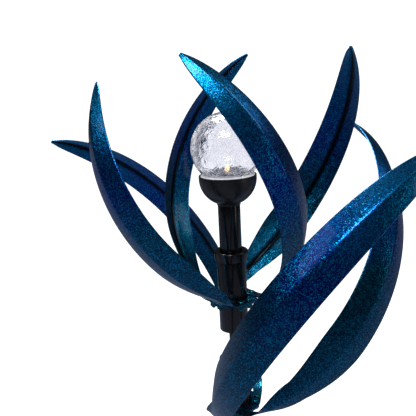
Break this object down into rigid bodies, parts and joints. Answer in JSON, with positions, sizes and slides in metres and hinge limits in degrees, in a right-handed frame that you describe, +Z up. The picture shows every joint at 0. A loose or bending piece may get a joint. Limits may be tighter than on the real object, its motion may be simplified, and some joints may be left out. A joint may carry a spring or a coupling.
{
  "type": "kinetic wind sculpture",
  "caption": "Garden wind spinner: two sets of curved leaf blades that turn opposite ways on a staked pole, with a crackled glass globe lamp on top.",
  "frame": {"origin": "on the pole's axis at ground level, inside the stake's straight spike", "axes": "+Z up along the pole; the view that the object is best known from looks along +Y with +X to the right"},
  "size_m": [0.4241, 0.365, 1.34],
  "materials": {
    "blade_paint": "candy blue metallic flake under clear gloss",
    "bolt_paint": "blue-green metallic gloss",
    "dark_steel": "black oxide, satin",
    "bright_steel": "turned, satin",
    "nylon": "moulded, matte",
    "black_gloss": "black gloss powder coat",
    "black_satin": "black satin powder coat",
    "black_plastic": "moulded, semi-gloss",
    "white_plastic": "moulded, matte",
    "solar": "dark silicon under clear resin with silver grid lines",
    "board": "green solder mask",
    "led_lens": "clear water-white lens",
    "battery_wrap": "shrink wrap",
    "contact_metal": "nickelled spring brass",
    "crackle_glass": "clear crackled glass",
    "seal_rubber": "soft, matte"
  },
  "bodies": {
    "stand": {"stake_spike": "black_satin", "stake_step_plate": "black_satin", "stake_prong_left": "black_satin", "stake_prong_right": "black_satin", "stake_socket": "black_satin", "pole_lower": "black_gloss", "pole_upper": "black_gloss", "pole_coupler": "bright_steel", "spindle_adapter": "dark_steel", "spindle": "dark_steel", "pole_screws": "dark_steel", "upper_thrust_washer": "nylon", "upper_stop_collar": "bright_steel", "lower_thrust_washer": "nylon", "lower_stop_collar": "bright_steel", "lamp_tube": "black_gloss", "lamp_tube_plug": "bright_steel", "lamp_cup": "black_satin"},
    "upper_rotor": {"upper_sleeve": "black_gloss", "upper_collar": "black_gloss", "upper_top_bush": "nylon", "upper_bottom_bush": "nylon", "upper_blade_plate": "blade_paint", "upper_blade_bolts": "bolt_paint", "upper_blade_nuts": "bolt_paint", "upper_blade_1": "blade_paint", "upper_blade_2": "blade_paint", "upper_blade_3": "blade_paint", "upper_blade_4": "blade_paint"},
    "lower_rotor": {"lower_sleeve": "black_gloss", "lower_collar": "black_gloss", "lower_top_bush": "nylon", "lower_bottom_bush": "nylon", "lower_blade_plate": "blade_paint", "lower_blade_bolts": "bolt_paint", "lower_blade_nuts": "bolt_paint", "lower_blade_1": "blade_paint", "lower_blade_2": "blade_paint", "lower_blade_3": "blade_paint"},
    "lamp": {"lamp_base": "white_plastic", "battery_cover": "black_plastic", "battery_cover_screws": "dark_steel", "solar_cell": "solar", "circuit_board": "board", "led": "led_lens", "battery": "battery_wrap", "battery_contacts": "contact_metal", "glass_globe": "crackle_glass", "globe_seal": "seal_rubber"},
    "switch": {"switch_slider": "white_plastic"}
  },
  "joints": [
    {"name": "upper_rotor_spin", "type": "hinge", "parent": "stand", "child": "upper_rotor", "pos_m": [0, 0, 0.842], "axis": [0, 0, 1], "continuous": true},
    {"name": "lower_rotor_spin", "type": "hinge", "parent": "stand", "child": "lower_rotor", "pos_m": [0, 0, 0.727], "axis": [0, 0, 1], "continuous": true},
    {"name": "lamp_lift", "type": "slide", "parent": "stand", "child": "lamp", "axis": [0, 0, 1], "range_m": [0, 0.06]},
    {"name": "switch_slide", "type": "slide", "parent": "lamp", "child": "switch", "axis": [1, 0, 0], "range_m": [0, 0.003]}
  ]
}
